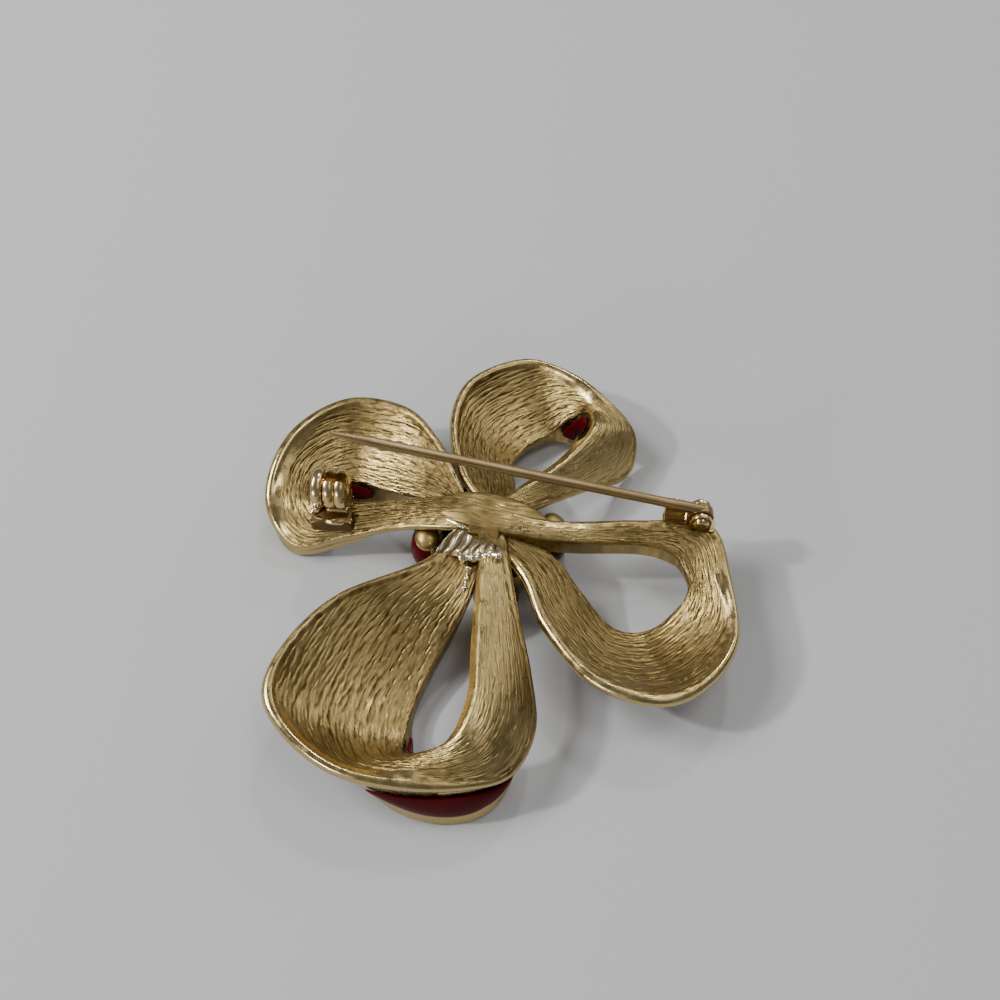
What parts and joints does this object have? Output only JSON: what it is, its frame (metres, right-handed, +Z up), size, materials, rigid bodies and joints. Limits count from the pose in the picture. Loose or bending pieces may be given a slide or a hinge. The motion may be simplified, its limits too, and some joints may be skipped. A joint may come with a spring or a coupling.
{
  "type": "bow brooch",
  "caption": "Bow brooch of ribbon loops with enamelled faces and a stone rosette, lying face down with its hinged pin open over a roll-over catch.",
  "frame": {"origin": "on the table under the middle of the brooch's outline", "axes": "+X to the right along the back strip towards the pin's hinge, +Y away from the lowest loop, +Z up out of the brooch's back"},
  "size_m": [0.0485, 0.0515, 0.018],
  "materials": {
    "gold_tone": "pale gold plate, satin striated backs with polished rims",
    "red_enamel": "glossy deep red enamel",
    "black_stone": "glossy black",
    "catch_metal": "polished pale gold plate",
    "pin_wire": "drawn wire, satin, warm nickel-gold tone"
  },
  "bodies": {
    "brooch": {"bow_casting": "gold_tone", "enamel_upper_left": "red_enamel", "enamel_upper_right": "red_enamel", "enamel_lower_left": "red_enamel", "enamel_lower_right": "red_enamel", "tip_enamel": "red_enamel", "hole_enamel_upper_left": "red_enamel", "hole_enamel_upper_right": "red_enamel", "hole_enamel_lower_left": "red_enamel", "rosette_stone": "black_stone", "petal_enamel": "red_enamel", "hinge_rivet": "catch_metal"},
    "pin": {"pin": "pin_wire"},
    "catch_barrel": {"catch_barrel": "catch_metal"}
  },
  "joints": [
    {"name": "pin_hinge", "type": "hinge", "parent": "brooch", "child": "pin", "pos_m": [0.0211, 0.0035, 0.0079], "axis": [0.0611, 0.9981, 0], "range_deg": [-14, 70]},
    {"name": "barrel_turn", "type": "hinge", "parent": "brooch", "child": "catch_barrel", "pos_m": [-0.01583, 0.00576, 0.0087], "axis": [-0.9981, 0.0611, 0], "range_deg": [0, 120]}
  ]
}
